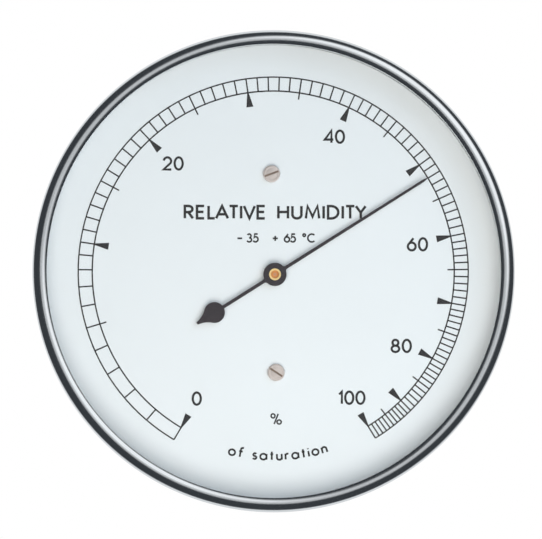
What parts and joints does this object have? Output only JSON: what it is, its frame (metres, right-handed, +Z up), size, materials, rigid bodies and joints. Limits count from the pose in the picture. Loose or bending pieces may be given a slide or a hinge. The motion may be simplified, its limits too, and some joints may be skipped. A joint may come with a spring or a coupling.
{
  "type": "hair hygrometer",
  "caption": "Round wall hygrometer with a white dial under glass, a long pointer, and a hair and toothed-sector movement that turns it.",
  "frame": {"origin": "centre of the case's flat back, on the plane of the wall", "axes": "+Z up, as it hangs; the dial faces -Y; +X is to the reader's right"},
  "size_m": [0.103, 0.033, 0.103],
  "materials": {
    "case_steel": "polished stainless steel, a little duller than the bezel",
    "bezel_steel": "polished, turned and buffed",
    "clear_glass": "flat, polished",
    "black_rubber": "matt",
    "bronze_gauze": "woven wire, dull",
    "dial_white": "fine satin lacquer",
    "dial_ink": "printed ink",
    "nickel_screws": "nickel-plated, satin",
    "plate_brass": "fine-grained, lacquered",
    "turned_brass": "turned, bright",
    "machine_steel": "turned, satin",
    "pointer_black": "matt black",
    "blued_spring": "blued",
    "spring_wire": "drawn wire",
    "hair": "combed and degreased hair"
  },
  "bodies": {
    "case": {"case_shell": "case_steel", "bezel_ring": "bezel_steel", "front_glass": "clear_glass", "glass_seal": "black_rubber", "vent_gauze": "bronze_gauze", "dial_plate": "dial_white", "dial_markings": "dial_ink", "dial_screws": "nickel_screws", "dial_posts": "turned_brass", "base_plate": "plate_brass", "front_plate": "plate_brass", "plate_pillars": "turned_brass", "plate_screws": "machine_steel", "rear_bushes": "turned_brass", "front_bushes": "turned_brass", "base_spacers": "machine_steel", "back_screws": "nickel_screws", "base_nuts": "machine_steel", "hairspring": "blued_spring", "hairspring_stud": "machine_steel", "tension_spring": "spring_wire", "spring_post": "machine_steel", "stop_pins": "machine_steel", "anchor_bracket": "plate_brass", "bracket_rivets": "machine_steel"},
    "pointer": {"pointer": "pointer_black", "pointer_bush": "turned_brass", "pointer_arbor": "machine_steel", "pinion": "turned_brass", "hairspring_collet": "turned_brass"},
    "sector": {"sector_gear": "plate_brass", "sector_arbor": "machine_steel", "hair_lever": "plate_brass", "hook_pin": "machine_steel", "spring_pin": "machine_steel"},
    "hair": {"lower_hair_clamp": "machine_steel", "hair_bundle": "hair"},
    "adjuster": {"adjusting_screw": "machine_steel", "screw_clip": "machine_steel"},
    "anchor": {"anchor_slide": "turned_brass", "upper_hair_clamp": "machine_steel"}
  },
  "joints": [
    {"name": "pointer_turn", "type": "hinge", "parent": "case", "child": "pointer", "pos_m": [0.0003, -0.018, -0.00064], "axis": [0, -1, 0], "range_deg": [-90.8, 207.1], "deforming": ["hairspring"]},
    {"name": "sector_swing", "type": "hinge", "parent": "case", "child": "sector", "pos_m": [0.0123, -0.014, -0.02142], "axis": [0, -1, 0], "range_deg": [-13.9, 6.15], "deforming": ["tension_spring"]},
    {"name": "hair_hook", "type": "hinge", "parent": "sector", "child": "hair", "pos_m": [0.00781, -0.0121, -0.02173], "axis": [0, -1, 0], "range_deg": [-6.15, 13.9]},
    {"name": "adjusting_turn", "type": "hinge", "parent": "case", "child": "adjuster", "pos_m": [0.00783, -0.0121, 0.044], "axis": [0, 0, 1], "range_deg": [-360, 360]},
    {"name": "anchor_travel", "type": "slide", "parent": "case", "child": "anchor", "axis": [0, 0, 1], "range_m": [-0.00045, 0.00045]}
  ],
  "couplings": [
    {"joint": "sector_swing", "follows": "pointer_turn", "ratio": -0.066667},
    {"joint": "hair_hook", "follows": "pointer_turn", "ratio": 0.066667},
    {"joint": "adjusting_turn", "follows": "anchor_travel", "rad_per_m": -13963}
  ]
}
